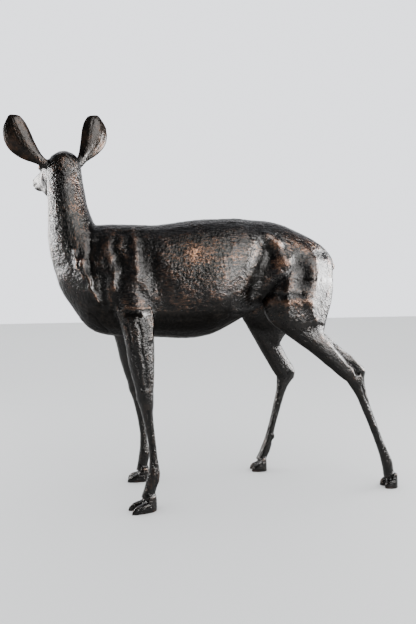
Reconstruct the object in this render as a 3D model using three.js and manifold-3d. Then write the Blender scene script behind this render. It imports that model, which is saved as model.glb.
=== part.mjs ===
// A life-size standing doe, cast in bronze as one piece, with her head turned to her right.
// Millimetres. X runs from chest to rump, +Y is the doe's right, Z is up from the ground under her hooves.
import * as THREE from "three";
import { mergeVertices } from "three/addons/utils/BufferGeometryUtils.js";
import Module from "manifold-3d";

// Driving dimensions
const withersHeight = 788;
const rumpHeight = 809;
const chestX = -134;
const rumpX = 704;
const hoofTrack = { left: 116, right: 128 }; // each hoof's distance from the middle plane
const headTurn = 65; // degrees from straight ahead to the doe's right
const headDrop = 1; // degrees that the face points below the horizon
const poll = [-105, 6, 950]; // middle of the skull, behind the eyes

// Trunk: back line and belly line are heights along X, and half width is across Y.
const trunk = {
  backLine: [
    [chestX, 668],
    [-118, 716],
    [-80, 762],
    [-20, withersHeight - 4],
    [60, withersHeight],
    [150, withersHeight],
    [290, rumpHeight - 1],
    [450, rumpHeight],
    [520, 801],
    [600, 770],
    [660, 737],
    [692, 702],
    [rumpX, 670],
  ],
  bellyLine: [
    [chestX, 652],
    [-122, 606],
    [-90, 552],
    [-45, 490],
    [20, 466],
    [130, 460],
    [250, 453],
    [320, 466],
    [400, 506],
    [480, 548],
    [600, 566],
    [660, 600],
    [694, 632],
    [rumpX, 652],
  ],
  halfWidth: [
    [chestX, 8],
    [-122, 44],
    [-90, 74],
    [-30, 98],
    [60, 113],
    [200, 130],
    [310, 134],
    [420, 120],
    [520, 110],
    [620, 98],
    [675, 72],
    [696, 40],
    [rumpX, 10],
  ],
  keel: 0.1, // how much wider the lower half is than the upper half
  flankShare: 0.1, // how far the section's points crowd towards the flanks
  endShare: 0.45, // how far the sections crowd towards the chest and the rump
  leastRise: 4, // half height that the end sections keep
  rings: 40,
  sides: 28,
};

// Neck: centre line, half depth along the doe, half width across her, and the section's turn.
const neck = {
  stations: [
    { at: [40, 0, 590], depth: 118, width: 82, turn: 0 },
    { at: [-30, 0, 660], depth: 106, width: 88, turn: 0 },
    { at: [-76, 0, 735], depth: 78, width: 71, turn: 6 },
    { at: [-92, 0, 800], depth: 60, width: 58, turn: 18 },
    { at: [-99, 2, 860], depth: 53, width: 51, turn: 32 },
    { at: [-104, 4, 912], depth: 50, width: 48, turn: 48 },
    { at: [-105, 5, 955], depth: 46, width: 45, turn: 60 },
    { at: [-107, 6, 978], depth: 35, width: 34, turn: 65 },
    { at: [-109, 6, 991], depth: 13, width: 13, turn: 65 },
  ],
  rings: 16,
  sides: 20,
};

// Head: sections along the face from the back of the skull. Rise lifts a section from the straight axis.
const head = {
  stations: [
    { along: -30, rise: 2, depth: 18, width: 18 },
    { along: -18, rise: 2, depth: 36, width: 34 },
    { along: 8, rise: -1, depth: 46, width: 42 },
    { along: 44, rise: -13, depth: 58, width: 45 },
    { along: 80, rise: -16, depth: 60, width: 43 },
    { along: 112, rise: -12, depth: 50, width: 34 },
    { along: 150, rise: -5, depth: 36, width: 27 },
    { along: 186, rise: 0, depth: 27, width: 24 },
    { along: 210, rise: -1, depth: 24, width: 23 },
    { along: 224, rise: -3, depth: 17, width: 18 },
    { along: 231, rise: -4, depth: 8, width: 9 },
  ],
  rings: 18,
  sides: 16,
  eye: { right: 32, along: 80, rise: 12, radius: 14, sides: 9, rings: 6 },
};

// Ears: each one's root on the skull, its tip, its sideways bow and the way that its hollow opens.
const ear = {
  halfWidth: [
    [0, 13],
    [0.22, 14],
    [0.45, 29],
    [0.66, 38],
    [0.83, 35],
    [0.94, 23],
    [1, 5],
  ],
  widest: 36,
  cup: { root: 18, tip: 10.5 },
  wall: { root: 15, tip: 6.4 },
  rimShare: 0.4, // the wall at the rim, of the wall at the middle
  hollowShare: 0.94, // the hollow's width, of the whole width
  sunk: 26, // length of the root inside the skull
  rings: 11,
  sides: 8,
};
const earPoses = {
  left: { root: [-147, -16, 958], tip: [-243, -34, 1071], bow: 24, open: -25 },
  right: { root: [-68, 22, 974], tip: [-9, 44, 1116], bow: -17, open: -12 },
};

// Legs: joints in the X-Z plane, and girths along each bone that both legs of a pair share.
// A girth row is [bone, share of the bone, half depth, half width, shift back, share of the hoof track].
const foreLeg = {
  joints: {
    left: [[54, 760], [37, 640], [82, 545], [107, 288], [126, 96], [106, 30]],
    right: [[54, 760], [37, 640], [55, 543], [99, 278], [119, 88], [109, 30]],
  },
  girths: [
    [0, 0, 14, 14, 0, 0.22],
    [0, 0.4, 34, 24, 0, 0.5],
    [1, 0, 50, 31, 0, 0.68],
    [1, 0.5, 51, 34, 2, 0.75],
    [2, 0.02, 54, 34, -2, 0.82],
    [2, 0.3, 41, 31, 2, 0.92],
    [2, 0.6, 35, 27, 0, 0.97],
    [2, 0.85, 25, 21, 0, 1],
    [3, 0.0, 20.5, 19, 0, 1],
    [3, 0.2, 14.5, 14.5, 0, 1],
    [3, 0.42, 11.5, 11.5, 2, 1],
    [3, 0.65, 10.5, 11.5, 3, 1],
    [3, 0.88, 13, 14, 1, 1],
    [4, 0.06, 17.5, 17, 0, 1],
    [4, 0.55, 16.5, 16, 0, 1],
    [4, 1, 18, 18, 0, 1],
  ],
  hoof: { left: { toe: 50, heel: 24, turn: 12 }, right: { toe: 46, heel: 24, turn: -4 } },
  dewHeight: 92,
  rings: 28,
};
const hindLeg = {
  joints: {
    left: [[528, 504], [716, 342], [820, 76], [828, 30]],
    right: [[474, 515], [596, 320], [526, 76], [503, 30]],
  },
  girths: [
    [0, -0.25, 28, 22, 0, 0.6],
    [0, 0, 34, 26, 0, 0.72],
    [0, 0.28, 37, 32, 4, 0.84],
    [0, 0.55, 35, 27, 2, 0.92],
    [0, 0.82, 34, 21, 0, 0.97],
    [1, 0.0, 34, 18.5, 0, 1],
    [1, 0.1, 25, 17, 0, 1],
    [1, 0.24, 16, 14, 0, 1],
    [1, 0.45, 13.5, 12.5, 0, 1],
    [1, 0.7, 12, 12, 0, 1],
    [1, 0.9, 13.5, 14, 0, 1],
    [2, 0.1, 16.5, 16, 0, 1],
    [2, 0.55, 15.5, 15.5, 0, 1],
    [2, 1, 17, 17, 0, 1],
  ],
  hoof: { left: { toe: 24, heel: 20, turn: 0 }, right: { toe: 34, heel: 20, turn: -4 } },
  dewHeight: 124,
  rings: 22,
};
const legSides = 12;

// Claws: levels up from the sole, with the toe's and the heel's share of the hoof's own reach.
const claw = {
  levels: [
    { z: -6, toe: 1, heel: 1, half: 13.5, back: 0 },
    { z: 8, toe: 0.98, heel: 1, half: 14.5, back: 0 },
    { z: 17, toe: 0.84, heel: 1, half: 14, back: 0 },
    { z: 26, toe: 0.24, heel: 0.95, half: 13, back: 1 },
    { z: 42, toe: 0.16, heel: 0.75, half: 11, back: 4 },
  ],
  sides: 10,
  toeTaper: 0.3,
  apart: 12, // from the middle of the foot to the middle of a claw
  splay: 6, // degrees that each toe points away from the other
};
const dewClaw = {
  stations: [
    { behind: 2, apart: 8, below: 0, girth: 6 },
    { behind: 6, apart: 9, below: 12, girth: 7 },
    { behind: 6, apart: 10, below: 22, girth: 4 },
  ],
  rings: 2,
  sides: 6,
};

// Haunch: level sections of the thigh over each hind leg. The lower ones follow the knee forward and up.
const haunch = {
  stations: [
    { at: [584, 34, 740], depth: 44, width: 20, follow: 0 },
    { at: [588, 58, 688], depth: 88, width: 46, follow: 0 },
    { at: [574, 70, 622], depth: 103, width: 56, follow: 0.1 },
    { at: [561, 77, 572], depth: 109, width: 55, follow: 0.4 },
    { at: [556, 82, 532], depth: 102, width: 51, follow: 0.7 },
    { at: [556, 87, 502], depth: 90, width: 44, follow: 0.9 },
    { at: [565, 92, 478], depth: 74, width: 36, follow: 1 },
    { at: [575, 96, 456], depth: 54, width: 26, follow: 1 },
    { at: [590, 99, 430], depth: 34, width: 22, follow: 1.35 },
    { at: [606, 102, 408], depth: 16, width: 12, follow: 1.6 },
  ],
  kneeReach: { left: 0, right: -34 },
  kneeRise: { left: 0, right: 6 },
  rings: 16,
  sides: 18,
};

// Modelling of both flanks: each swelling's height, or each hollow's depth, along its [x, z] line.
const flankForms = [
  { form: "front of the shoulder blade", height: 8, spread: 14, line: [[41, 751], [24, 710], [-8, 646]] },
  { form: "rear of the shoulder blade", height: 8, spread: 14, line: [[68, 751], [76, 700], [80, 634]] },
  { form: "hollow of the shoulder blade", height: -7, spread: 14, line: [[52, 730], [34, 650]] },
  { form: "back of the upper arm", height: 8, spread: 15, line: [[82, 632], [102, 585], [118, 540]] },
  { form: "front of the upper arm", height: 8, spread: 15, line: [[28, 629], [20, 560]] },
  { form: "breast muscle", height: 8, spread: 20, line: [[-56, 670], [-35, 599], [-12, 556]] },
  { form: "hollow behind the arm", height: -11, spread: 22, line: [[112, 730], [118, 660], [156, 580]] },
  { form: "hip bone", height: 10, spread: 22, line: [[466, 746], [488, 728]] },
  { form: "hollow of the flank", height: -20, spread: 27, line: [[460, 700], [440, 640], [416, 582]] },
  { form: "outer thigh", height: 10, spread: 24, line: [[518, 668], [504, 592]] },
  { form: "groove of the thigh", height: -10, spread: 16, line: [[560, 664], [552, 596]] },
  { form: "rear thigh", height: 8, spread: 26, line: [[600, 692], [604, 625], [580, 562]] },
];

const tail = {
  stations: [
    { at: [676, 0, 716], depth: 10, width: 13 },
    { at: [702, 0, 690], depth: 9, width: 13 },
    { at: [709, 0, 664], depth: 6, width: 9 },
    { at: [704, 0, 646], depth: 3, width: 5 },
  ],
  rings: 6,
  sides: 8,
};
const groundBlock = { side: 3000, depth: 100 }; // trims the soles flat

const bronze = new THREE.MeshStandardMaterial({ color: 0x33261c, roughness: 0.35, metalness: 0.9 });

const wasm = await Module();
wasm.setup();

const up = new THREE.Vector3(0, 0, 1);
const down = new THREE.Vector3(0, 0, -1);
const acrossDoe = new THREE.Vector3(0, 1, 0);
const turned = THREE.MathUtils.degToRad(headTurn);
const dropped = THREE.MathUtils.degToRad(headDrop);
const headLevel = new THREE.Vector3(-Math.cos(turned), Math.sin(turned), 0);
const headRight = new THREE.Vector3(Math.sin(turned), Math.cos(turned), 0);
const headAhead = headLevel.clone().multiplyScalar(Math.cos(dropped));
headAhead.addScaledVector(up, -Math.sin(dropped));
const headUp = new THREE.Vector3().crossVectors(headRight, headAhead);

// A smooth value along X through a few [x, value] points.
function profile(points) {
  const slope = points.map((p, i) => {
    const before = points[Math.max(0, i - 1)];
    const after = points[Math.min(points.length - 1, i + 1)];
    return (after[1] - before[1]) / (after[0] - before[0]);
  });
  return (x) => {
    let i = 0;
    while (i < points.length - 2 && x > points[i + 1][0]) i += 1;
    const [x0, v0] = points[i];
    const [x1, v1] = points[i + 1];
    const span = x1 - x0;
    const t = THREE.MathUtils.clamp((x - x0) / span, 0, 1);
    const bend = t * t * (3 - 2 * t);
    const leave = t * (1 - t) * (1 - t) * span * slope[i];
    const arrive = t * t * (t - 1) * span * slope[i + 1];
    return v0 + (v1 - v0) * bend + leave + arrive;
  };
}

// A closed skin over a row of rings with equal point counts, each end closed by a fan.
function skin(rings) {
  const sides = rings[0].length;
  const points = rings.flat();
  const triangles = [];
  for (let r = 0; r + 1 < rings.length; r += 1) {
    for (let s = 0; s < sides; s += 1) {
      const a = r * sides + s;
      const b = r * sides + ((s + 1) % sides);
      triangles.push(a, b, a + sides, b, b + sides, a + sides);
    }
  }
  const last = (rings.length - 1) * sides;
  const middle = (ring) => ring.reduce((sum, p) => sum.add(p), new THREE.Vector3()).divideScalar(sides);
  const first = points.push(middle(rings[0])) - 1;
  const end = points.push(middle(rings[rings.length - 1])) - 1;
  for (let s = 0; s < sides; s += 1) {
    const next = (s + 1) % sides;
    triangles.push(first, next, s);
    triangles.push(end, last + s, last + next);
  }
  const geometry = new THREE.BufferGeometry().setFromPoints(points);
  geometry.setIndex(triangles);
  return geometry;
}

// A geometry as a solid that can be joined and cut, turned right side out.
function solid(geometry) {
  const plain = geometry.clone();
  plain.deleteAttribute("normal");
  plain.deleteAttribute("uv");
  const merged = mergeVertices(plain, 1e-3);
  const vertProperties = merged.attributes.position.array;
  const triVerts = new Uint32Array(merged.index.array);
  const make = () => new wasm.Manifold(new wasm.Mesh({ numProp: 3, vertProperties, triVerts }));
  const made = make();
  if (made.volume() > 0) return made;
  for (let i = 0; i < triVerts.length; i += 3) {
    [triVerts[i + 1], triVerts[i + 2]] = [triVerts[i + 2], triVerts[i + 1]];
  }
  return make();
}

// A smooth curve through one number of each station.
function stationCurve(stations, key) {
  const points = stations.map((s) => new THREE.Vector3(s[key] ?? 0, 0, 0));
  const curve = new THREE.CatmullRomCurve3(points, false, "catmullrom", 0.5);
  return (t) => curve.getPoint(t).x;
}

// How far the flank stands out at a place, from all the forms that reach it.
function flankRelief(x, z) {
  const place = new THREE.Vector3(x, 0, z);
  const nearest = new THREE.Vector3();
  let total = 0;
  for (const { height, spread, line } of flankForms) {
    let distance = Infinity;
    for (let i = 0; i + 1 < line.length; i += 1) {
      const [from, to] = [line[i], line[i + 1]].map(([px, pz]) => new THREE.Vector3(px, 0, pz));
      new THREE.Line3(from, to).closestPointToPoint(place, true, nearest);
      distance = Math.min(distance, nearest.distanceTo(place));
    }
    total += height * Math.exp(-((distance / spread) ** 2));
  }
  return total;
}

// A limb swept through stations, with level sections or sections across its path.
function limb(stations, rings, sides, side = acrossDoe, flank = 0, level = false) {
  const places = stations.map((s) => new THREE.Vector3(...s.at));
  const path = new THREE.CatmullRomCurve3(places, false, "catmullrom", 0.5);
  const turn = stationCurve(stations, "turn");
  const depth = stationCurve(stations, "depth");
  const width = stationCurve(stations, "width");
  const loops = [];
  for (let r = 0; r <= rings; r += 1) {
    const t = r / rings;
    const centre = path.getPoint(t);
    const tangent = level ? down : path.getTangent(t);
    const across = side.clone().addScaledVector(tangent, -side.dot(tangent)).normalize();
    across.applyAxisAngle(tangent, THREE.MathUtils.degToRad(turn(t)));
    const ahead = new THREE.Vector3().crossVectors(across, tangent).normalize();
    const loop = [];
    for (let k = 0; k < sides; k += 1) {
      const angle = (k / sides) * 2 * Math.PI;
      const point = centre.clone().addScaledVector(ahead, depth(t) * Math.cos(angle));
      point.addScaledVector(across, width(t) * Math.sin(angle));
      const outward = Math.max(0, Math.sin(angle) * flank);
      point.y += flank * outward * flankRelief(point.x, point.z);
      loop.push(point);
    }
    loops.push(loop);
  }
  return solid(skin(loops));
}

function makeTrunk() {
  const back = profile(trunk.backLine);
  const belly = profile(trunk.bellyLine);
  const half = profile(trunk.halfWidth);
  const loops = [];
  for (let r = 0; r <= trunk.rings; r += 1) {
    const even = r / trunk.rings;
    const eased = 0.5 - 0.5 * Math.cos(Math.PI * even);
    const x = THREE.MathUtils.lerp(chestX, rumpX, THREE.MathUtils.lerp(even, eased, trunk.endShare));
    const middle = (back(x) + belly(x)) / 2;
    const rise = Math.max((back(x) - belly(x)) / 2, trunk.leastRise);
    const loop = [];
    for (let k = 0; k < trunk.sides; k += 1) {
      const turn = (k / trunk.sides) * 2 * Math.PI;
      const angle = turn + trunk.flankShare * Math.sin(2 * turn);
      const wide = half(x) * Math.sin(angle) * (1 - trunk.keel * Math.cos(angle));
      const z = middle + rise * Math.cos(angle);
      loop.push(new THREE.Vector3(x, wide + Math.sin(angle) * flankRelief(x, z), z));
    }
    loops.push(loop);
  }
  return solid(skin(loops));
}

function makeHaunch(side, sideSign) {
  const reach = haunch.kneeReach[side];
  const lift = haunch.kneeRise[side];
  const stations = haunch.stations.map(({ at: [x, out, z], depth, width, follow }) => {
    return { at: [x + reach * follow, sideSign * out, z + lift * follow], depth, width };
  });
  return limb(stations, haunch.rings, haunch.sides, acrossDoe, sideSign, true);
}

// Where a girth row sits on its bone, as a limb station.
function legStation(joints, track, [bone, share, depth, width, shift, out]) {
  const [x0, z0] = joints[bone];
  const [x1, z1] = joints[bone + 1];
  const x = THREE.MathUtils.lerp(x0, x1, share) + shift;
  return { at: [x, track * out, THREE.MathUtils.lerp(z0, z1, share)], depth, width };
}

// One claw of a cloven hoof, flat below and pointed at the toe.
function makeClaw(x, y, { toe, heel, turn }, half) {
  const foot = THREE.MathUtils.degToRad(turn);
  const splay = THREE.MathUtils.degToRad(claw.splay * -half);
  const loops = claw.levels.map((level) => {
    const loop = [];
    for (let k = 0; k < claw.sides; k += 1) {
      const angle = (k / claw.sides) * 2 * Math.PI;
      const ahead = Math.cos(angle);
      const reach = ahead > 0 ? toe * level.toe : heel * level.heel;
      const narrow = 1 - claw.toeTaper * Math.max(0, ahead);
      const point = new THREE.Vector3(-ahead * reach, level.half * Math.sin(angle) * narrow, level.z);
      point.applyAxisAngle(up, splay).add(new THREE.Vector3(level.back, half * claw.apart, 0));
      loop.push(point.applyAxisAngle(up, foot).add(new THREE.Vector3(x, y, 0)));
    }
    return loop;
  });
  return solid(skin(loops));
}

// One of the two small claws behind a shank.
function makeDewClaw(x, y, height, half) {
  const stations = dewClaw.stations.map(({ behind, apart, below, girth }) => {
    return { at: [x + behind, y + half * apart, height - below], depth: girth, width: girth };
  });
  return limb(stations, dewClaw.rings, dewClaw.sides);
}

function makeLeg({ joints, girths, hoof, dewHeight, rings }, side, sideSign) {
  const y = sideSign * hoofTrack[side];
  const stations = girths.map((row) => legStation(joints[side], y, row));
  const [upper, fetlock, foot] = joints[side].slice(-3);
  const dewShare = (upper[1] - dewHeight) / (upper[1] - fetlock[1]);
  const dewX = THREE.MathUtils.lerp(upper[0], fetlock[0], dewShare);
  let leg = limb(stations, rings, legSides, acrossDoe, sideSign);
  for (const half of [-1, 1]) {
    leg = leg.add(makeClaw(foot[0], y, hoof[side], half));
    leg = leg.add(makeDewClaw(dewX, y, dewHeight, half));
  }
  return leg;
}

function headPlace(right, ahead, rise) {
  const place = new THREE.Vector3(...poll).addScaledVector(headRight, right);
  return place.addScaledVector(headAhead, ahead).addScaledVector(headUp, rise);
}

function makeEye({ right, along, rise, radius, sides, rings }, sideSign) {
  const ball = new THREE.SphereGeometry(radius, sides, rings);
  ball.translate(...headPlace(sideSign * right, along, rise).toArray());
  return solid(ball);
}

function makeHead() {
  const stations = head.stations.map((s) => ({ ...s, at: headPlace(0, s.along, s.rise).toArray() }));
  let made = limb(stations, head.rings, head.sides, headRight);
  for (const sideSign of [-1, 1]) {
    made = made.add(makeEye(head.eye, sideSign));
  }
  return made;
}

// A cupped leaf from root to tip, thin, with its hollow facing the way that the face looks.
function makeEar({ root, tip, bow, open }) {
  const end = new THREE.Vector3(...tip);
  const axis = end.clone().sub(new THREE.Vector3(...root)).normalize();
  const start = new THREE.Vector3(...root).addScaledVector(axis, -ear.sunk);
  const facing = headLevel.clone().applyAxisAngle(up, THREE.MathUtils.degToRad(open));
  facing.addScaledVector(axis, -facing.dot(axis)).normalize();
  const across = new THREE.Vector3().crossVectors(axis, facing);
  const halfAt = profile(ear.halfWidth);
  const loops = [];
  for (let r = 0; r <= ear.rings; r += 1) {
    const t = r / ear.rings;
    const half = halfAt(t);
    const cup = THREE.MathUtils.lerp(ear.cup.root, ear.cup.tip, t) * (half / ear.widest);
    const wall = THREE.MathUtils.lerp(ear.wall.root, ear.wall.tip, t);
    const centre = start.clone().lerp(end, t).addScaledVector(across, bow * Math.sin(Math.PI * t));
    const place = (u, lift, narrow) => {
      const point = centre.clone().addScaledVector(across, half * u * narrow);
      return point.addScaledVector(facing, cup * (u * u - 0.5) + lift);
    };
    const loop = [];
    for (let k = 0; k < ear.sides; k += 1) {
      loop.push(place(-1 + (2 * k) / (ear.sides - 1), 0, 1));
    }
    for (let k = ear.sides - 2; k >= 1; k -= 1) {
      const u = -1 + (2 * k) / (ear.sides - 1);
      loop.push(place(u, wall * (1 - (1 - ear.rimShare) * u * u), ear.hollowShare));
    }
    loops.push(loop);
  }
  return solid(skin(loops));
}

function makeDoe() {
  let doe = makeTrunk();
  doe = doe.add(limb(neck.stations, neck.rings, neck.sides));
  doe = doe.add(makeHead());
  for (const [side, sideSign] of [["left", -1], ["right", 1]]) {
    doe = doe.add(makeEar(earPoses[side]));
    doe = doe.add(makeHaunch(side, sideSign));
    doe = doe.add(makeLeg(foreLeg, side, sideSign));
    doe = doe.add(makeLeg(hindLeg, side, sideSign));
  }
  doe = doe.add(limb(tail.stations, tail.rings, tail.sides));
  const ground = new THREE.BoxGeometry(groundBlock.side, groundBlock.side, groundBlock.depth);
  ground.translate(0, 0, -groundBlock.depth / 2);
  return doe.subtract(solid(ground));
}

const cast = makeDoe().getMesh();
const geometry = new THREE.BufferGeometry();
geometry.setAttribute("position", new THREE.BufferAttribute(cast.vertProperties, 3));
geometry.setIndex(new THREE.BufferAttribute(cast.triVerts, 1));
geometry.computeBoundingBox();
const middle = geometry.boundingBox.getCenter(new THREE.Vector3());
geometry.translate(-middle.x, -middle.y, 0);

const doe = new THREE.Mesh(geometry, bronze);
doe.name = "doe_figure";

const statue = new THREE.Group();
statue.add(doe);

export default statue;
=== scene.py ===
import math

import bpy
import numpy as np
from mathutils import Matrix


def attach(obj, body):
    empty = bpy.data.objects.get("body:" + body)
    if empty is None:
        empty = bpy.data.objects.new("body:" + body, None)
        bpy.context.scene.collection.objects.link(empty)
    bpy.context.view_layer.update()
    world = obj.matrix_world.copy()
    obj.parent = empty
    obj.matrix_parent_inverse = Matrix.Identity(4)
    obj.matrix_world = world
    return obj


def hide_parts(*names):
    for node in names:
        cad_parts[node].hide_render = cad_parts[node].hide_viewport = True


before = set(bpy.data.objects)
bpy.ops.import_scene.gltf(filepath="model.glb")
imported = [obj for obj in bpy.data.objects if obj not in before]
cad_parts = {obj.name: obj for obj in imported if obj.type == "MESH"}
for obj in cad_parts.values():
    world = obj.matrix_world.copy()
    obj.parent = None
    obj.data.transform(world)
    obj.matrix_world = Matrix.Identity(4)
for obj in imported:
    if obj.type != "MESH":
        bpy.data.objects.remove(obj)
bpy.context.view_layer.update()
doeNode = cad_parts["doe_figure"]

# Camera: low and close, a little past square to the flank, as the picture was taken.
cameraSet = {
    "place": (-0.29505, -1.4781, 0.53),
    "turn": 12.0,           # degrees towards the tail
    "roll": 0.9,
    "focus": 490 / 624,     # focal length, of the picture's height
    "sensor": 36.0,
    "nearest": 0.05,
}

bpy.ops.object.select_all(action="DESELECT")
bpy.ops.object.camera_add(
    location=cameraSet["place"],
    rotation=(math.radians(90), math.radians(cameraSet["roll"]), math.radians(-cameraSet["turn"])),
)
camera = bpy.context.object
camera.name = "pictureCamera"
camera.data.sensor_fit = "VERTICAL"
camera.data.sensor_height = cameraSet["sensor"]
camera.data.lens = cameraSet["focus"] * cameraSet["sensor"]
camera.data.clip_start = cameraSet["nearest"]
bpy.context.scene.camera = camera
print("camera placed")


def linear(hexColour):
    channels = [int(hexColour[i:i + 2], 16) / 255 for i in (1, 3, 5)]
    return [c / 12.92 if c <= 0.04045 else ((c + 0.055) / 1.055) ** 2.4 for c in channels] + [1.0]


def addNode(tree, kind, settings=None, inputs=None):
    node = tree.nodes.new(kind)
    for key, value in (settings or {}).items():
        setattr(node, key, value)
    for key, value in (inputs or {}).items():
        if isinstance(value, bpy.types.NodeSocket):
            tree.links.new(value, node.inputs[key])
        else:
            node.inputs[key].default_value = value
    return node


def ease(low, high, values):
    t = np.clip((values - low) / (high - low), 0, 1)
    return t * t * (3 - 2 * t)


# Doe's own measures: millimetres, x from chest to rump, y to the doe's right from the middle plane, z up.
castSet = {
    "middle": (295.1, 36.6, 0.0),     # the frame's origin in these measures
    "voxel": 2.0,                     # grid of the first skin
    "faces": 196000,                  # triangles left on the finished cast
    "smooth": {"trunk": 10.0, "neck": 8.0, "head": 5.0, "leg": 5.5, "foot": 4.6, "ear": 2.2, "tail": 3.0},
    "rounds": 80,
    "pull": 0.6,                      # share of the way that a point moves in one round, where smoothed most
    "leastReturn": 0.04,              # least share by which the shrinking is given back
    "sole": (3, 8),                   # the smoothing sets in between these heights
    "blends": [(70, 560, 80, 70), (560, 470, 90, 50)],     # limbs' tops: x, z, half length, half height
    "blendPull": 0.9,
    "blendFrom": 40,                  # the limbs' tops lie farther out than this
}
noiseSet = {
    "slopes": 256,                    # directions to draw from
    "seed": 7,
    "primes": (73856093, 19349663, 83492791),
    "stirs": (1013904223, 1274126177, 69069),
    "shifts": (13, 15, 8),
    "mask": 0x7fffffff,
    "gain": 1.7,                      # brings the noise to about -1 to 1
}
slopes = np.random.default_rng(noiseSet["seed"]).normal(size=(noiseSet["slopes"], 3))
slopes /= np.linalg.norm(slopes, axis=1)[:, None]


def gridNoise(points, seed):
    # Smooth noise with lumps one unit apart.
    cell = np.floor(points).astype(np.int64)
    part = points - cell
    blend = part * part * part * (part * (part * 6 - 15) + 10)
    seedStir, firstStir, secondStir = noiseSet["stirs"]
    firstShift, secondShift, lastShift = noiseSet["shifts"]
    total = np.zeros(len(points))
    for corner in range(8):
        step = np.array([corner & 1, corner >> 1 & 1, corner >> 2 & 1])
        key = (cell + step) * np.array(noiseSet["primes"])
        mixed = (key[:, 0] ^ key[:, 1] ^ key[:, 2]) + seed * seedStir
        mixed = (mixed ^ (mixed >> firstShift)) * firstStir & noiseSet["mask"]
        mixed = (mixed ^ (mixed >> secondShift)) * secondStir & noiseSet["mask"]
        slope = slopes[(mixed >> lastShift) % noiseSet["slopes"]]
        weight = np.prod(np.where(step == 1, blend, 1 - blend), axis=1)
        total += np.einsum("ij,ij->i", slope, part - step) * weight
    return total * noiseSet["gain"]


class Skin:
    # The cast's skin as arrays, in the doe's own measures.
    def __init__(self, mesh):
        self.mesh = mesh
        flat = np.empty(len(mesh.vertices) * 3)
        mesh.vertices.foreach_get("co", flat)
        self.points = flat.reshape(-1, 3) * 1000 + castSet["middle"]
        pairs = np.empty(len(mesh.edges) * 2, np.int32)
        mesh.edges.foreach_get("vertices", pairs)
        self.pairs = pairs.reshape(-1, 2)
        mesh.calc_loop_triangles()
        corners = np.empty(len(mesh.loop_triangles) * 3, np.int32)
        mesh.loop_triangles.foreach_get("vertices", corners)
        self.corners = corners.reshape(-1, 3)
        self.count = np.maximum(np.bincount(self.pairs.ravel(), minlength=len(self.points)), 1)

    def spread(self, values):
        first, second = self.pairs.T
        size = len(self.points)
        sums = [np.bincount(first, v[second], size) + np.bincount(second, v[first], size) for v in values.T]
        return np.stack(sums, 1) / self.count[:, None]

    def relax(self, values, share, rounds):
        values = values.copy()
        for _ in range(rounds):
            values += share[:, None] * (self.spread(values) - values)
        return values

    def normals(self):
        a, b, c = (self.points[self.corners[:, k]] for k in range(3))
        face = np.cross(b - a, c - a)
        sums = np.zeros_like(self.points)
        for k in range(3):
            for i in range(3):
                sums[:, i] += np.bincount(self.corners[:, k], face[:, i], len(self.points))
        return sums / np.maximum(np.linalg.norm(sums, axis=1), 1e-12)[:, None]

    def store(self):
        self.mesh.vertices.foreach_set("co", ((self.points - castSet["middle"]) / 1000).ravel())
        self.mesh.update()


def apply(obj, name):
    bpy.context.view_layer.objects.active = obj
    bpy.ops.object.modifier_apply(modifier=name)


# Head and ears, where the solid has them.
headSet = {"poll": (-105.0, 6.0, 950.0), "turn": 65.0}
earSet = {
    "left": {"root": (-147.0, -16.0, 958.0), "tip": (-243.0, -34.0, 1071.0), "open": -25.0, "bow": 24.0},
    "right": {"root": (-68.0, 22.0, 974.0), "tip": (-9.0, 44.0, 1116.0), "open": -12.0, "bow": -17.0},
}
leafSet = {
    "along": [0.0, 0.22, 0.45, 0.66, 0.83, 0.94, 1.0],
    "half": [14, 16, 30, 39, 36, 24, 5],       # half width along the leaf
    "least": 2,                                # it is nowhere less than this
    "cup": (18, 10.5), "widest": 36,           # depth of the cup at root and tip, for the widest half width
    "wall": (17, 8), "rimShare": 0.45,         # thickness at root and tip, and the rim's share of it
    "hollowShare": 0.94,                       # width of the hollow, of the leaf's
    "back": 1,                                 # the leaf is set back by this
    "sunk": 26,                                # depth of its root in the head
    "rings": 60, "sides": 25,
    "rim": (0.8, 1.0),                         # share of the half width where the rim begins and is full
    "room": {"side": 70, "out": 60, "along": 1.2},     # space around a leaf that is its own
}
headTurn = math.radians(headSet["turn"])
headAhead = np.array([-math.cos(headTurn), math.sin(headTurn), 0.0])
headRight = np.array([math.sin(headTurn), math.cos(headTurn), 0.0])


def headPlace(points):
    off = points - headSet["poll"]
    return np.stack([off @ headRight, off @ headAhead, off[:, 2]], 1)


def earAxes(ear):
    axis = np.array(ear["tip"]) - np.array(ear["root"])
    axis /= np.linalg.norm(axis)
    swing = math.radians(ear["open"])
    facing = np.array([headAhead[0] * math.cos(swing) - headAhead[1] * math.sin(swing),
                       headAhead[0] * math.sin(swing) + headAhead[1] * math.cos(swing), 0.0])
    facing -= axis * (facing @ axis)
    facing /= np.linalg.norm(facing)
    return axis, facing, np.cross(axis, facing)


def earStart(ear):
    # The leaf's start inside the head, and its length from there.
    begin = np.array(ear["root"]) - earAxes(ear)[0] * leafSet["sunk"]
    return begin, np.linalg.norm(np.array(ear["tip"]) - begin)


def earPlace(points, ear):
    # Share along the leaf, and distances to its side and out of its hollow.
    axis, facing, across = earAxes(ear)
    begin, length = earStart(ear)
    off = points - begin
    along = off @ axis / length
    side = off @ across - ear["bow"] * np.sin(np.pi * np.clip(along, 0, 1))
    return along, side, off @ facing


def byLeaf(along, side, out):
    room = leafSet["room"]
    return (np.abs(side) < room["side"]) & (np.abs(out) < room["out"]) & (along > 0) & (along < room["along"])


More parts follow.
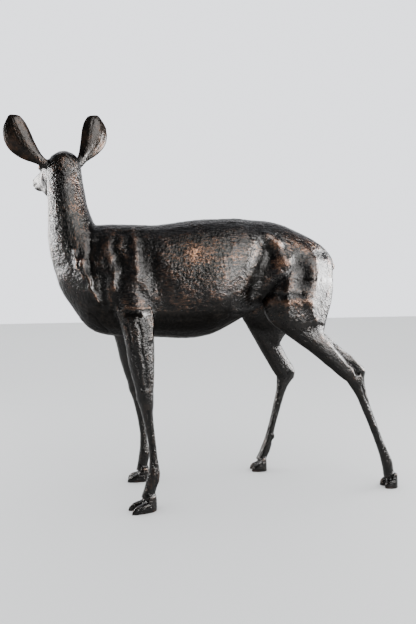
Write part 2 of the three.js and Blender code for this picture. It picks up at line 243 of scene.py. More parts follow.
def leafHalf(t):
    # Smooth curve through the leaf's half widths.
    spots, values = np.array(leafSet["along"]), np.array(leafSet["half"], float)
    rises = np.gradient(values, spots)
    i = np.clip(np.searchsorted(spots, t, side="right") - 1, 0, len(spots) - 2)
    span = spots[i + 1] - spots[i]
    u = np.clip((t - spots[i]) / span, 0, 1)
    bend = u * u * (3 - 2 * u)
    slide = span * (u * (1 - u) ** 2 * rises[i] + u * u * (u - 1) * rises[i + 1])
    return np.maximum(values[i] + (values[i + 1] - values[i]) * bend + slide, leafSet["least"])


def makeLeaf(ear):
    # A cupped leaf in the solid ear's place, with more faces and a rounder rim.
    _, facing, across = earAxes(ear)
    begin, _ = earStart(ear)
    reach = np.array(ear["tip"]) - begin
    u = np.linspace(-1, 1, leafSet["sides"])
    rings = []
    for t in np.linspace(0, 1, leafSet["rings"]):
        half = leafHalf(np.array([t]))[0]
        cup = np.interp(t, (0, 1), leafSet["cup"]) * half / leafSet["widest"]
        wall = np.interp(t, (0, 1), leafSet["wall"])
        centre = begin + reach * t + across * ear["bow"] * math.sin(math.pi * t)
        bowl = cup * (u * u - 0.5) - leafSet["back"]
        lift = wall * (1 - (1 - leafSet["rimShare"]) * u * u)
        back = centre + np.outer(half * u, across) + np.outer(bowl, facing)
        front = centre + np.outer(half * u * leafSet["hollowShare"], across) + np.outer(bowl + lift, facing)
        rings.append(np.concatenate([back, front[::-1]]))
    size = len(rings[0])
    corners = [tuple(range(size))[::-1]]
    for r in range(len(rings) - 1):
        for k in range(size):
            n = (k + 1) % size
            corners.append((r * size + k, r * size + n, (r + 1) * size + n, (r + 1) * size + k))
    corners.append(tuple((len(rings) - 1) * size + k for k in range(size)))
    mesh = bpy.data.meshes.new("earLeaf")
    mesh.from_pydata(((np.concatenate(rings) - castSet["middle"]) / 1000).tolist(), [], corners)
    leaf = bpy.data.objects.new("earLeaf", mesh)
    bpy.context.scene.collection.objects.link(leaf)
    return leaf


# Where each region begins and where it is full. An ear is measured along as a share, the head from the poll.
regionSet = {
    "earAlong": (0.22, 0.36), "earSide": (60, 50), "earOut": (44, 34),
    "headAhead": (30, 75), "headRise": (835, 900),
    "neckRise": (750, 840), "neckBack": (70, 10),
    "leg": (500, 430), "foot": (75, 40),
    "tailBack": (688, 700), "tailSide": (26, 18), "tailTop": (715, 705), "tailEnd": (632, 645),
}


def within(name, values):
    return ease(*regionSet[name], values)


def regions(points):
    # Share of each region at each point.
    x, y, z = points.T
    inEar = np.zeros(len(points))
    for ear in earSet.values():
        along, side, out = earPlace(points, ear)
        here = within("earAlong", along) * within("earSide", np.abs(side)) * within("earOut", np.abs(out))
        inEar = np.maximum(inEar, here)
    inHead = within("headAhead", headPlace(points)[:, 1]) * within("headRise", z) * (1 - inEar)
    inTail = within("tailBack", x) * within("tailSide", np.abs(y))
    inTail *= within("tailTop", z) * within("tailEnd", z)
    return {
        "neck": within("neckRise", z) * within("neckBack", x) * (1 - inHead) * (1 - inEar),
        "head": inHead,
        "leg": within("leg", z),
        "foot": within("foot", z),
        "ear": inEar,
        "tail": inTail,
    }


# First skin: the cast's solid as an even grid of small faces.
bpy.ops.object.select_all(action="DESELECT")
cast = bpy.data.objects.new("doe_cast", doeNode.data.copy())
bpy.context.scene.collection.objects.link(cast)
cast.data.materials.clear()
cast.select_set(True)
bpy.context.view_layer.objects.active = cast
bpy.ops.object.mode_set(mode="EDIT")
bpy.ops.mesh.select_all(action="SELECT")
bpy.ops.mesh.remove_doubles(threshold=1e-5)
bpy.ops.object.mode_set(mode="OBJECT")
for ear in earSet.values():
    makeLeaf(ear).select_set(True)
bpy.ops.object.join()
remesh = cast.modifiers.new("evenSkin", "REMESH")
remesh.mode = "VOXEL"
remesh.voxel_size = castSet["voxel"] / 1000
apply(cast, "evenSkin")
print("first skin", len(cast.data.vertices))

# The solid's facets are smoothed out, and what the smoothing shrinks is given back.
skin = Skin(cast.data)
start = skin.points.copy()
region = regions(start)
reachOf = castSet["smooth"]
reach = np.full(len(start), reachOf["trunk"])
for name, part in region.items():
    reach += (reachOf[name] - reach) * part
share = (reach / max(reachOf.values())) ** 2 * castSet["pull"] * ease(*castSet["sole"], start[:, 2])
skin.points = skin.relax(start, share, castSet["rounds"])
givenBack = np.maximum(share, castSet["leastReturn"])
skin.points -= skin.relax(skin.points - start, givenBack, castSet["rounds"])
for bx, bz, dx, dz in castSet["blends"]:
    near = np.exp(-((start[:, 0] - bx) / dx) ** 4 - ((start[:, 2] - bz) / dz) ** 4)
    near *= np.abs(start[:, 1]) > castSet["blendFrom"]
    skin.points = skin.relax(skin.points, castSet["blendPull"] * near, castSet["rounds"] // 2)
print("facets smoothed")

# Modelling of the flanks: high in mm along a line of (x, z), and the spread on each side of it.
# On a line drawn downwards the spreads are (towards the chest, towards the tail).
markSet = {
    "rightShare": 0.85,       # the unseen side is modelled a little softer
    "wander": (28, 4.5),      # mm along and across by which a line wanders, so that none is ruled
    "facing": (0.1, 0.45),    # sideways part of the normal where a mark sets in and where it is full
    "aside": (-5, 25),        # distance from the middle plane, likewise
    "soft": 0.4,              # share of the spread over which one side's spread becomes the other's
    "wanderSeeds": (81, 82),
    "faint": 0.01,            # where a side faces away more than this it has no marks
    "faintHead": 0.02,
}
flankLines = [
    # shoulder blade: its two ridges are eased, with a soft rear edge and a fuller barrel behind it
    {"high": -4.0, "wide": 16, "line": [(68, 751), (76, 700), (80, 640)]},
    {"high": -3.5, "wide": 15, "line": [(41, 751), (24, 710), (-8, 646)]},
    {"high": 2.5, "wide": (18, 8), "line": [(82, 764), (86, 712), (89, 671), (90, 640)]},
    {"high": 4.0, "wide": 26, "line": [(112, 730), (118, 660), (156, 580)]},
    {"high": -3.0, "wide": (18, 12), "line": [(0, 760), (-14, 705), (-34, 650)]},
    # upper arm, down to the seam over the fore leg
    {"high": -2.5, "wide": 15, "line": [(82, 632), (102, 585), (118, 540)]},
    {"high": 5.0, "wide": (9, 6), "line": [(121, 542), (123, 510), (124, 459)]},
    {"high": 3.0, "wide": (10, 7), "line": [(30, 634), (24, 596), (18, 552)]},
    {"high": -2.5, "wide": (9, 18), "line": [(44, 630), (42, 596), (40, 556)]},
    {"high": -2.5, "wide": 10, "line": [(2, 628), (0, 590), (4, 552)]},
    {"high": 1.4, "wide": (2.5, 7), "line": [(16, 538), (60, 541), (120, 542)]},
    # folds of the breast
    {"high": 5.0, "wide": (9, 6), "line": [(-54, 672), (-44, 632), (-30, 592), (-14, 560)]},
    {"high": 4.0, "wide": (8, 5), "line": [(-74, 700), (-66, 660), (-52, 622)]},
    {"high": -3.5, "wide": 7, "line": [(-34, 720), (-38, 676), (-28, 640)]},
    {"high": -2.0, "wide": 4, "line": [(-35, 527), (8, 481)]},
    # hip, the barrel's end and the hollow of the flank
    {"high": 4.5, "wide": 16, "line": [(464, 748), (490, 726)]},
    {"high": -3.0, "wide": 9, "line": [(500, 752), (516, 716)]},
    {"high": 10.0, "wide": (70, 46), "line": [(392, 730), (376, 680), (352, 630), (336, 570)]},
    {"high": -4.0, "wide": (26, 36), "line": [(460, 702), (450, 672), (432, 630), (412, 584)]},
    # thigh, its crease and the strip under the tail
    {"high": 4.0, "wide": 15, "line": [(500, 678), (514, 668)]},
    {"high": 4.0, "wide": 20, "line": [(562, 668), (552, 596)]},
    {"high": -2.5, "wide": (11, 8), "line": [(466, 578), (500, 576), (552, 572)]},
    {"high": 2.0, "wide": 14, "line": [(476, 552), (520, 555), (566, 552)]},
    {"high": 4.0, "wide": (24, 20), "line": [(590, 700), (592, 630), (568, 566)]},
    {"high": -4.5, "wide": 24, "line": [(642, 694), (645, 620), (614, 556)]},
    # fold from the belly to the thigh
    {"high": 3.5, "wide": (4, 9), "line": [(352, 536), (400, 537), (434, 533), (456, 508), (486, 479)]},
    {"high": -3.0, "wide": 7, "line": [(352, 524), (424, 520), (446, 496)]},
]
legLines = {
    "left": [
        {"high": -7.0, "wide": (8, 8), "line": [(632, 459), (678, 400), (722, 346)]},
        {"high": 4.0, "wide": (5, 7), "line": [(648, 468), (698, 406), (740, 354)]},
        {"high": 3.0, "wide": 12, "line": [(575, 540), (596, 505)]},
        {"high": -2.5, "wide": 4.5, "line": [(62, 500), (80, 420), (96, 330)]},
        {"high": -2.5, "wide": 4.5, "line": [(90, 500), (99, 420), (110, 330)]},
        {"high": -2.0, "wide": 4, "line": [(110, 266), (119, 180), (126, 120)]},
        {"high": -2.2, "wide": 4, "line": [(738, 304), (785, 190), (812, 112)]},
    ],
    "right": [
        {"high": -5.0, "wide": 9, "line": [(540, 470), (574, 400), (600, 352)]},
        {"high": -2.5, "wide": 4.5, "line": [(58, 490), (80, 400), (94, 320)]},
        {"high": -2.0, "wide": 4, "line": [(102, 260), (112, 170), (119, 112)]},
        {"high": -2.2, "wide": 4, "line": [(588, 286), (560, 190), (536, 108)]},
    ],
}


def lineReach(points, line):
    # Distance from each point to the line, and how far the point lies to the line's second side.
    least = np.full(len(points), np.inf)
    aside = np.zeros(len(points))
    for first, last in zip(line[:-1], line[1:]):
        first, last = np.array(first, float), np.array(last, float)
        step = last - first
        off = points - first
        t = np.clip(off @ step / (step @ step), 0, 1)
        far = np.linalg.norm(off - t[:, None] * step, axis=1)
        closer = far < least
        least[closer] = far[closer]
        turned = (step[0] * off[:, -1] - step[-1] * off[:, 0]) / np.linalg.norm(step)
        aside[closer] = turned[closer]
    return least, aside


def markHeight(points, mark):
    far, aside = lineReach(points, mark["line"])
    wide = mark["wide"] if isinstance(mark["wide"], tuple) else (mark["wide"], mark["wide"])
    soft = min(wide) * markSet["soft"]
    spread = wide[0] + (wide[1] - wide[0]) * ease(-soft, soft, aside)
    return mark["high"] * np.exp(-(far / spread) ** 2)


base = skin.points.copy()
normal = skin.normals()
relief = np.zeros(len(base))
wanderLong, wanderWide = markSet["wander"]
wander = np.stack([gridNoise(base / wanderLong, seed) for seed in markSet["wanderSeeds"]], 1) * wanderWide
wandered = base[:, [0, 2]] + wander
for side, sign, part in [("left", -1, 1.0), ("right", 1, markSet["rightShare"])]:
    facing = ease(*markSet["facing"], normal[:, 1] * sign) * ease(*markSet["aside"], base[:, 1] * sign)
    chosen = np.flatnonzero(facing > markSet["faint"])
    for mark in flankLines + legLines[side]:
        relief[chosen] += part * markHeight(wandered[chosen], mark) * facing[chosen]
print("flanks modelled")

# Knobs of bone at the joints: place, height and spread.
knobs = [
    ((752, -116, 352), 6.0, 15), ((628, 128, 322), 6.0, 15),      # points of the hocks
    ((88, -116, 300), 3.0, 16), ((80, 128, 290), 3.0, 16),        # knees
    ((112, -116, 262), -2.0, 12), ((105, 128, 252), -2.0, 12),    # hollows under the knees
    ((714, 0, 668), 5.0, 9),                                      # tail
]
for place, high, wide in knobs:
    relief += high * np.exp(-(np.linalg.norm(base - place, axis=1) / wide) ** 2)

# Face: lines of (right, ahead, rise) from the poll, on both cheeks alike.
faceLines = [
    # brow and eyeball
    {"high": 3.5, "wide": 6, "line": [(30, 56, 26), (35, 70, 33), (34, 88, 31), (28, 104, 20)]},
    {"high": 2.5, "wide": 8, "line": [(44, 78, 12), (44, 83, 11)]},
    # grooves around the eyeball
    {"high": -3.6, "wide": 2.8,
     "line": [(37, 63, 10), (43, 70, 20), (44, 80, 23), (41, 90, 19), (35, 98, 8)]},
    {"high": -3.2, "wide": 2.6, "line": [(37, 63, 10), (44, 72, 2), (45, 82, 0), (41, 91, 2), (35, 98, 8)]},
    # upper lid, lower lid and tear pit
    {"high": 2.4, "wide": 3.4,
     "line": [(35, 58, 12), (41, 68, 26), (42, 80, 29), (39, 92, 25), (33, 103, 10)]},
    {"high": 2.2, "wide": 3.2, "line": [(36, 60, 5), (43, 71, -5), (44, 83, -6), (40, 94, -4)]},
    {"high": -3.0, "wide": 5, "line": [(28, 98, 8), (26, 112, 2)]},
    # cheek bone and the hollow under it
    {"high": 3.0, "wide": 9, "line": [(36, 36, -18), (34, 70, -26), (26, 112, -30)]},
    {"high": -3.0, "wide": 9, "line": [(30, 60, -44), (26, 100, -44)]},
    # mouth, nostril, the nostril's rim, the lip's cleft and the bridge of the nose
    {"high": -3.2, "wide": 3.2, "line": [(8, 231, -15), (17, 222, -16), (22, 200, -15), (24, 172, -16)]},
    {"high": -6.0, "wide": 4.5, "line": [(10, 227, 4), (16, 221, 6)]},
    {"high": 2.0, "wide": 4, "line": [(8, 226, 11), (18, 216, 12), (21, 208, 4)]},
    {"high": -1.6, "wide": 3, "line": [(0, 232, -2), (0, 230, -12)]},
    {"high": 2.0, "wide": 8, "line": [(0, 120, 40), (0, 190, 28)]},
]
place = headPlace(base)
place[:, 0] = np.abs(place[:, 0])
onHead = np.flatnonzero(region["head"] > markSet["faintHead"])
for mark in faceLines:
    relief[onHead] += markHeight(place[onHead], mark) * region["head"][onHead]
print("face modelled")

# Hair strokes and wax lumps, in mm.
textureSet = {
    "strokes": [
        {"long": 30.0, "wide": 6.5, "high": 0.5, "seed": 10},
        {"long": 16.0, "wide": 4.4, "high": 0.4, "seed": 30},
    ],
    "bend": {"size": 60.0, "high": 9.0, "seed": 90},             # the strokes wander
    "lumps": {"size": 17.0, "high": 0.35, "seed": 51},
    "dabs": {"size": 6.5, "high": 0.45, "seed": 53},
    "swells": {"size": 46.0, "high": 0.6, "seed": 52},
    "earLines": {"count": 9.0, "runs": 2.2, "high": 0.7, "apart": 7.0, "seed": 60},
    "hoofRings": {"step": 8.5, "high": 0.35, "top": (40, 30)},
    "calm": {"head": 0.5, "leg": 0.25, "legSwells": 0.6},        # share by which the marks are weaker there
    "sole": (2, 9),                                              # marks set in here, so that soles stay flat
    "faint": 0.02,                                               # a flow's smaller shares are left out
}

# The way that the strokes run in each region, and where the region begins and where it is full.
flowSet = {
    "trunk": {"way": (1, 0, -0.05)},
    "haunch": {"way": (0.55, 0, -0.84), "share": 0.9,
               "back": (470, 540), "foot": (440, 500), "top": (640, 600)},
    "breast": {"way": (-0.28, 0, 0.96), "front": (-10, -50), "foot": (480, 560)},
    "fore": {"way": (0.06, 0, -1), "top": (560, 490), "end": 230},     # fore legs lie ahead of this end
    "hind": {"top": (520, 460), "begin": 330, "bend": 20},             # half the height of the hock's bend
    "across": (0.31, 0.93, 0.17),     # turns the strokes' grid off the doe's own axes
}
hindJoints = {"left": [(528, 504), (716, 342), (820, 76)], "right": [(474, 515), (596, 320), (526, 76)]}


def flows(points, region):
    # Stroke direction and share by region.
    x, y, z = points.T
    haunch, breast, fore, hind = (flowSet[name] for name in ("haunch", "breast", "fore", "hind"))
    inHaunch = ease(*haunch["back"], x) * ease(*haunch["foot"], z) * ease(*haunch["top"], z)
    inBreast = ease(*breast["front"], x) * ease(*breast["foot"], z)
    found = [
        (flowSet["trunk"]["way"], np.ones(len(points))),
        (haunch["way"], inHaunch * haunch["share"]),
        (breast["way"], np.maximum(inBreast, region["neck"])),
        (fore["way"], ease(*fore["top"], z) * (x < fore["end"])),
        (tuple(headAhead), region["head"]),
    ]
    for side, sign in [("left", -1), ("right", 1)]:
        knee, hock, foot = (np.array([p[0], 0, p[1]], float) for p in hindJoints[side])
        inHind = (y * sign > 0) & (x > hind["begin"])
        low, high = hock[2] - hind["bend"], hock[2] + hind["bend"]
        found.append((tuple(hock - knee), inHind * ease(*hind["top"], z) * ease(low, high, z)))
        found.append((tuple(foot - hock), inHind * ease(high, low, z)))
    return found


def flowFrame(direction):
    along = np.array(direction, float)
    along /= np.linalg.norm(along)
    across = np.cross(along, flowSet["across"])
    across /= np.linalg.norm(across)
    return np.stack([along, across, np.cross(along, across)])


def lumpy(kind):
    return kind["high"] * gridNoise(base / kind["size"], kind["seed"])


hair = np.zeros(len(base))
left = np.ones(len(base))
bends = textureSet["bend"]
for index, (direction, part) in reversed(list(enumerate(flows(base, region)))):
    part = part * left
    left = left - part
    chosen = np.flatnonzero(part > textureSet["faint"])
    run = base[chosen] @ flowFrame(direction).T
    run[:, 1] += gridNoise(base[chosen] / bends["size"], bends["seed"] + index) * bends["high"]
    for stroke in textureSet["strokes"]:
        grid = run / (stroke["long"], stroke["wide"], stroke["wide"])
        hair[chosen] += part[chosen] * stroke["high"] * gridNoise(grid, stroke["seed"] + index)
calmOf = textureSet["calm"]
body = 1 - np.maximum(region["ear"], region["foot"])
calm = 1 - calmOf["head"] * region["head"] - calmOf["leg"] * region["leg"]
relief += hair * body * calm
relief += lumpy(textureSet["lumps"]) * (1 - region["ear"]) * calm
relief += lumpy(textureSet["dabs"]) * body * calm
relief += lumpy(textureSet["swells"]) * body * (1 - region["leg"] * calmOf["legSwells"]) * calm
earLines = textureSet["earLines"]
for number, ear in enumerate(earSet.values()):
    along, side, out = earPlace(base, ear)
    fan = side / leafHalf(along)
    apart = np.full(len(base), number * earLines["apart"])
    lines = np.stack([along * earLines["runs"], fan * earLines["count"], apart], 1)
    near = region["ear"] * byLeaf(along, side, out) * (1 - ease(*leafSet["rim"], np.abs(fan)))
    relief += earLines["high"] * gridNoise(lines, earLines["seed"]) * near
rings = textureSet["hoofRings"]
relief += rings["high"] * np.sin(2 * np.pi * base[:, 2] / rings["step"]) * ease(*rings["top"], base[:, 2])
relief *= ease(*textureSet["sole"], base[:, 2])
skin.points = base + normal * relief[:, None]
skin.store()
print("hair and wax marks laid")

thin = cast.modifiers.new("fewerFaces", "DECIMATE")
thin.ratio = min(1.0, castSet["faces"] / len(skin.corners))
thin.use_collapse_triangulate = True
apply(cast, "fewerFaces")
for polygon in cast.data.polygons:
    polygon.use_smooth = True
print("cast faces", len(cast.data.polygons))

# Wear and painted shade, worked out on the finished skin: rub on what stands proud, grime in what lies deep,
# and painted shade in listed patches and on undersides.
wearSet = {
    "nearRounds": (6, 30), "broadRounds": (45, 80),     # smoothing that finds what stands proud, and its mean
    "under": (-0.1, -0.8),                              # upward part of the normal on undersides
    # the rub's under share darkens undersides: painted shade
    "rubAndUnderShade": {"all": 0.19, "patch": 0.55, "near": 0.12, "broad": 0.04,
            "leg": -0.06, "under": -0.7, "ear": 0.24},
    "grimeAndShade": {"near": 0.5, "broad": 0.14},
    "dull": {"under": 0.8, "grimeAndShade": 0.5, "ear": 0.4},
    "clouds": {"size": 34, "all": 0.75, "high": 0.5, "seed": 71},     # the rubbed patches are uneven
    "fadeRounds": 5,                                    # strokes fade where two flows meet
    "fine": 0.6,                                        # and are weaker by this share on head and ears
    "earFan": 30,                                       # mm of grain across half an ear
    "earFrom": 0.3, "flowFrom": 0.5,                    # least share of a region that takes its grain
    "even": 0.5,                                        # share of the way that a point moves in one round
    # x, z, half length, half height, strength
    "rubbed": [
        (585, 730, 80, 36, 0.75), (265, 694, 90, 36, 0.9), (522, 556, 62, 18, 0.6), (-72, 866, 20, 80, 0.45),
        (8, 690, 20, 48, 0.35), (66, 690, 16, 48, 0.35), (214, 550, 56, 46, 0.45), (474, 713, 36, 26, 0.6),
        (490, 662, 36, 18, 0.7), (80, 558, 42, 14, 0.4), (60, 756, 80, 14, 0.5), (266, 612, 120, 50, 0.35),
        (-100, 960, 24, 26, 0.3),
    ],
    # painted shade: listed patches darkened where shade falls, in the flank's hollow, around the shoulder, in
    # the thigh's groove, along the belly and at the brisket
    "paintedShadeSpots": [
        (446, 645, 28, 60, 0.45), (120, 680, 20, 70, 0.35), (42, 690, 12, 50, 0.3), (556, 636, 14, 46, 0.3),
        (320, 500, 160, 30, 0.3), (0, 560, 60, 60, 0.2),
    ],
}
skin = Skin(cast.data)
region = regions(skin.points)
normal = skin.normals()
x, _, z = skin.points.T
even = np.full(len(x), wearSet["even"])


def proud(rounds):
    # How far each point stands out of its surroundings, less the mean of that around it.
    out = ((skin.points - skin.relax(skin.points, even, rounds[0])) * normal).sum(1)
    return out - skin.relax(out[:, None], even, rounds[1])[:, 0]


def patches(spots):
    found = np.zeros(len(x))
    for px, pz, dx, dz, strength in spots:
        found = np.maximum(found, strength * np.exp(-((x - px) / dx) ** 2 - ((z - pz) / dz) ** 2))
    return found


near = proud(wearSet["nearRounds"])
broad = proud(wearSet["broadRounds"])
under = ease(*wearSet["under"], normal[:, 2])
# painted shade from the listed patches
shade = patches(wearSet["paintedShadeSpots"])
clouds, rubOf, grimeOf, dullOf = (wearSet[name] for name in ("clouds", "rubAndUnderShade", "grimeAndShade", "dull"))
cloudy = clouds["all"] + clouds["high"] * gridNoise(skin.points / clouds["size"], clouds["seed"])
patch = patches(wearSet["rubbed"]) * cloudy
rubAndUnderShade = rubOf["all"] + rubOf["patch"] * patch + rubOf["near"] * near + rubOf["broad"] * broad
# undersides are darkened here: painted shade
rubAndUnderShade = (rubAndUnderShade + rubOf["leg"] * region["leg"]) * (1 + rubOf["under"] * under)
rubAndUnderShade = np.clip(rubAndUnderShade * (1 - region["ear"]) + rubOf["ear"] * region["ear"], 0, 1)
deep = -grimeOf["near"] * near - grimeOf["broad"] * broad
# grime in hollows plus the painted shade of the patches
grimeAndShade = np.clip(deep * (1 - region["ear"]) + shade, 0, 1)
dull = dullOf["under"] * under + shade + dullOf["grimeAndShade"] * grimeAndShade + dullOf["ear"] * region["ear"]
dull = np.clip(dull, 0, 1)

# Grain: places measured along and across the strokes, for the bronze's fine brushing.
grain = np.zeros_like(skin.points)
flowOf = np.zeros(len(x))
rim = np.zeros(len(x))
found = flows(skin.points, region)
for index, (direction, part) in enumerate(found):
    chosen = part >= wearSet["flowFrom"]
    flowOf[chosen] = index
    grain[chosen] = skin.points[chosen] @ flowFrame(direction).T
for ear in earSet.values():
    along, side, out = earPlace(skin.points, ear)
    chosen = (region["ear"] > wearSet["earFrom"]) & byLeaf(along, side, out)
    fan = side / leafHalf(along)
    _, length = earStart(ear)
    flowOf[chosen] = len(found)
    grain[chosen] = np.stack([along * length, fan * wearSet["earFan"], out], 1)[chosen]
    rim[chosen] = ease(*leafSet["rim"], np.abs(fan))[chosen]
first, second = skin.pairs.T
clear = np.ones(len(x))
clear[skin.pairs[flowOf[first] != flowOf[second]].ravel()] = 0
clear = np.minimum(clear, skin.relax(clear[:, None], even, wearSet["fadeRounds"])[:, 0])
clear *= (1 - wearSet["fine"] * np.maximum(region["ear"], region["head"])) * (1 - rim)
for name, values in [("rubAndUnderShade", rubAndUnderShade), ("grimeAndShade", grimeAndShade), ("dull", dull), ("clear", clear)]:
    cast.data.attributes.new(name, "FLOAT", "POINT").data.foreach_set("value", values)
cast.data.attributes.new("grain", "FLOAT_VECTOR", "POINT").data.foreach_set("vector", grain.ravel())
print("wear laid")

# Patinated cast bronze: near-black brown wax over metal, rubbed to copper brown where it stands proud,
# with a waxed gloss that sparkles on every tool mark.
bronzeSet = {
    "deep": "#070605", "dark": "#15110e", "brown": "#4a3426", "copper": "#886348",
    "stops": [(0.0, "deep"), (0.25, "dark"), (0.6, "brown"), (0.95, "copper")],
    "edge": "#a8a39d",           # metal seen on edge
    "strokeWide": 2.2,           # mm across one brush of patina
    "strokeLong": 15.0,
    "strokeNoise": (2.0, 0.6),   # detail and its roughness
    "strokePart": 0.13,          # share of wear that the strokes add or take
    "strokeBump": (0.7, 0.0014), # strength, and height in metres
    "mottle": 38.0,              # mm across a cloud of patina
    "mottleNoise": (5.0, 0.65),
    "mottlePart": 0.16,
    "pits": 6.0,                 # mm across a cast pit, drawn coarser than real ones so that it shows
    "pitNoise": (2.0, 0.6),
    "pitBump": (0.8, 0.0021),
    "noiseSpan": (0.3, 0.7),     # most of a noise lies between these,
    "noiseMiddle": 0.5,          # around this
    "gloss": (0.13, 0.27),       # roughness of the metal
    "dullGloss": 0.3,            # and what dull places add to it
    "metal": 0.75,
    "specular": 0.3,
    "wax": 0.36,
    "waxGloss": 0.1,
}
bronze = bpy.data.materials.new("waxedCastBronze")
bronze.use_nodes = True
tree = bronze.node_tree
shader = tree.nodes["Principled BSDF"]


def attribute(name, output="Fac"):
    return addNode(tree, "ShaderNodeAttribute", {"attribute_name": name}).outputs[output]


def noise(place, scale, detail, roughness):
    inputs = {"Vector": place, "Scale": scale, "Detail": detail, "Roughness": roughness}
    return addNode(tree, "ShaderNodeTexNoise", None, inputs).outputs["Fac"]


def fadeFlat(values, clearAt):
    inputs = {"Factor": clearAt, "A": bronzeSet["noiseMiddle"], "B": values}
    return addNode(tree, "ShaderNodeMix", None, inputs).outputs["Result"]


def stretch(values, low, high):
    spanLow, spanHigh = bronzeSet["noiseSpan"]
    inputs = {"Value": values, "From Min": spanLow, "From Max": spanHigh, "To Min": low, "To Max": high}
    return addNode(tree, "ShaderNodeMapRange", None, inputs).outputs["Result"]


def reckon(operation, *values):
    return addNode(tree, "ShaderNodeMath", {"operation": operation}, dict(enumerate(values))).outputs["Value"]


def bump(size, height, under=None):
    strength, distance = size
    inputs = {"Strength": strength, "Distance": distance, "Height": height}
    node = addNode(tree, "ShaderNodeBump", None, inputs)
    if under:
        tree.links.new(under, node.inputs["Normal"])
    return node.outputs["Normal"]


objectAt = addNode(tree, "ShaderNodeTexCoord").outputs["Object"]
dullAt = attribute("dull")
clearAt = attribute("clear")
perMm = (1 / bronzeSet["strokeLong"], 1 / bronzeSet["strokeWide"], 1 / bronzeSet["strokeWide"])
strokeAt = addNode(tree, "ShaderNodeMapping", None, {"Vector": attribute("grain", "Vector"), "Scale": perMm})
strokes = fadeFlat(noise(strokeAt.outputs["Vector"], 1.0, *bronzeSet["strokeNoise"]), clearAt)
mottle = noise(objectAt, 1000 / bronzeSet["mottle"], *bronzeSet["mottleNoise"])
pits = fadeFlat(noise(objectAt, 1000 / bronzeSet["pits"], *bronzeSet["pitNoise"]), clearAt)

wearAndShade = reckon("ADD", attribute("rubAndUnderShade"), stretch(strokes, -bronzeSet["strokePart"], bronzeSet["strokePart"]))
wearAndShade = reckon("ADD", wearAndShade, stretch(mottle, -bronzeSet["mottlePart"], bronzeSet["mottlePart"]))
# grime in hollows and painted shade darken the colour
wearAndShade = reckon("SUBTRACT", wearAndShade, attribute("grimeAndShade"))
ramp = addNode(tree, "ShaderNodeValToRGB", None, {"Fac": wearAndShade})
while len(ramp.color_ramp.elements) < len(bronzeSet["stops"]):
    ramp.color_ramp.elements.new(0.5)
for element, (spot, name) in zip(ramp.color_ramp.elements, bronzeSet["stops"]):
    element.position = spot
    element.color = linear(bronzeSet[name])
tree.links.new(ramp.outputs["Color"], shader.inputs["Base Color"])

gloss = reckon("MULTIPLY_ADD", dullAt, bronzeSet["dullGloss"], stretch(mottle, *bronzeSet["gloss"]))
tree.links.new(gloss, shader.inputs["Roughness"])
wax = addNode(tree, "ShaderNodeMapRange", None, {"Value": dullAt, "To Min": bronzeSet["wax"], "To Max": 0.0})
tree.links.new(wax.outputs["Result"], shader.inputs["Coat Weight"])
rough = bump(bronzeSet["pitBump"], pits, bump(bronzeSet["strokeBump"], strokes))
tree.links.new(rough, shader.inputs["Normal"])
tree.links.new(rough, shader.inputs["Coat Normal"])
shader.inputs["Metallic"].default_value = bronzeSet["metal"]
shader.inputs["Specular Tint"].default_value = linear(bronzeSet["edge"])
shader.inputs["Specular IOR Level"].default_value = bronzeSet["specular"]
shader.inputs["Coat Roughness"].default_value = bronzeSet["waxGloss"]
cast.data.materials.append(bronze)

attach(cast, "root")
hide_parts("doe_figure")
print("bronze laid")

# Studio: a plain pale floor and large soft lights.
studioSet = {
    "floor": 60.0,
    "floorColour": "#d8d8d4",
    "floorRough": 0.8,
    "paleColour": "#e6e8ee",
    "paleStrength": 2.6,          # what the camera sees behind the doe
    "roomStrength": 0.2,          # what the metal mirrors around it,
    "zenithStrength": 0.4,        # above it,
    "rearStrength": 2.0,          # and behind it
    "airStrength": 2.4,           # soft light from all around on the floor
    "zenithFrom": (0.35, 0.9),    # rise of a ray where the zenith begins and where it is full
    "rearFrom": (0.3, 0.75),      # backward part of a ray, likewise
    "rearRise": (-0.05, 0.2),     # and its rise
    "lights": [
        ("leftWindow", (-2.4, 0.6, 1.2), (0.32, 1.2), 175),
        ("leftFrontSlit", (-2.3, -0.7, 1.1), (0.15, 0.9), 16),
        ("leftBackWindow", (-1.7, 1.8, 1.2), (0.8, 1.2), 30),
        ("rightWindow", (2.4, -0.1, 1.1), (1.4, 1.6), 480),
        ("frontRightWindow", (1.3, -2.4, 1.1), (0.8, 1.2), 190),
        ("frontTopSoftbox", (0.9, -1.9, 2.6), (1.8, 1.4), 120),
    ],
    "aim": (0.0, 0.0, 0.6),
}
bpy.ops.object.select_all(action="DESELECT")
bpy.ops.mesh.primitive_plane_add(size=studioSet["floor"], location=(0, 0, 0))
floor = bpy.context.object
floor.name = "studioFloor"
paper = bpy.data.materials.new("paleFloorPaper")     # even and matt, so that only the doe's shade shows on it
paper.use_nodes = True
paperShader = paper.node_tree.nodes["Principled BSDF"]
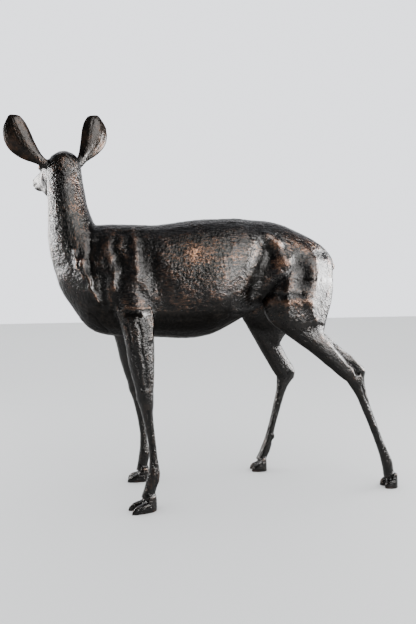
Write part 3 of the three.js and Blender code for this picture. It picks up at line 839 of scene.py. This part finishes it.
paperShader.inputs["Base Color"].default_value = linear(studioSet["floorColour"])
paperShader.inputs["Roughness"].default_value = studioSet["floorRough"]
floor.data.materials.append(paper)

for name, spot, size, power in studioSet["lights"]:
    bpy.ops.object.light_add(type="AREA", location=spot)
    lamp = bpy.context.object
    lamp.name = name
    lamp.data.shape = "RECTANGLE"
    lamp.data.size, lamp.data.size_y = size
    lamp.data.energy = power
    lamp.visible_camera = False
    lamp.visible_diffuse = False
    aim = np.array(studioSet["aim"]) - np.array(spot)
    lamp.rotation_euler = (math.atan2(math.hypot(aim[0], aim[1]), -aim[2]), 0, math.atan2(-aim[0], aim[1]))

world = bpy.data.worlds.new("paleStudio")
bpy.context.scene.world = world
world.use_nodes = True
worldTree = world.node_tree
background = worldTree.nodes["Background"]
background.inputs["Color"].default_value = linear(studioSet["paleColour"])
path = addNode(worldTree, "ShaderNodeLightPath").outputs
ray = addNode(worldTree, "ShaderNodeTexCoord").outputs["Generated"]
towards = addNode(worldTree, "ShaderNodeSeparateXYZ", None, {"Vector": ray}).outputs


def rise(values, span, low, high):
    settings = {"interpolation_type": "SMOOTHSTEP"}
    inputs = {"Value": values, "From Min": span[0], "From Max": span[1], "To Min": low, "To Max": high}
    return addNode(worldTree, "ShaderNodeMapRange", settings, inputs).outputs["Result"]


def switch(ask, plain, asked):
    inputs = {"Factor": path[ask], "A": plain, "B": asked}
    return addNode(worldTree, "ShaderNodeMix", None, inputs).outputs["Result"]


dome = rise(towards["Z"], studioSet["zenithFrom"], studioSet["roomStrength"], studioSet["zenithStrength"])
rear = rise(towards["Y"], studioSet["rearFrom"], 0.0, studioSet["rearStrength"])
above = rise(towards["Z"], studioSet["rearRise"], 0.0, 1.0)
around = addNode(worldTree, "ShaderNodeMath", {"operation": "MULTIPLY_ADD"}, {0: rear, 1: above, 2: dome})
level = switch("Is Diffuse Ray", around.outputs["Value"], studioSet["airStrength"])
level = switch("Is Camera Ray", level, studioSet["paleStrength"])
worldTree.links.new(level, background.inputs["Strength"])
print("studio ready")
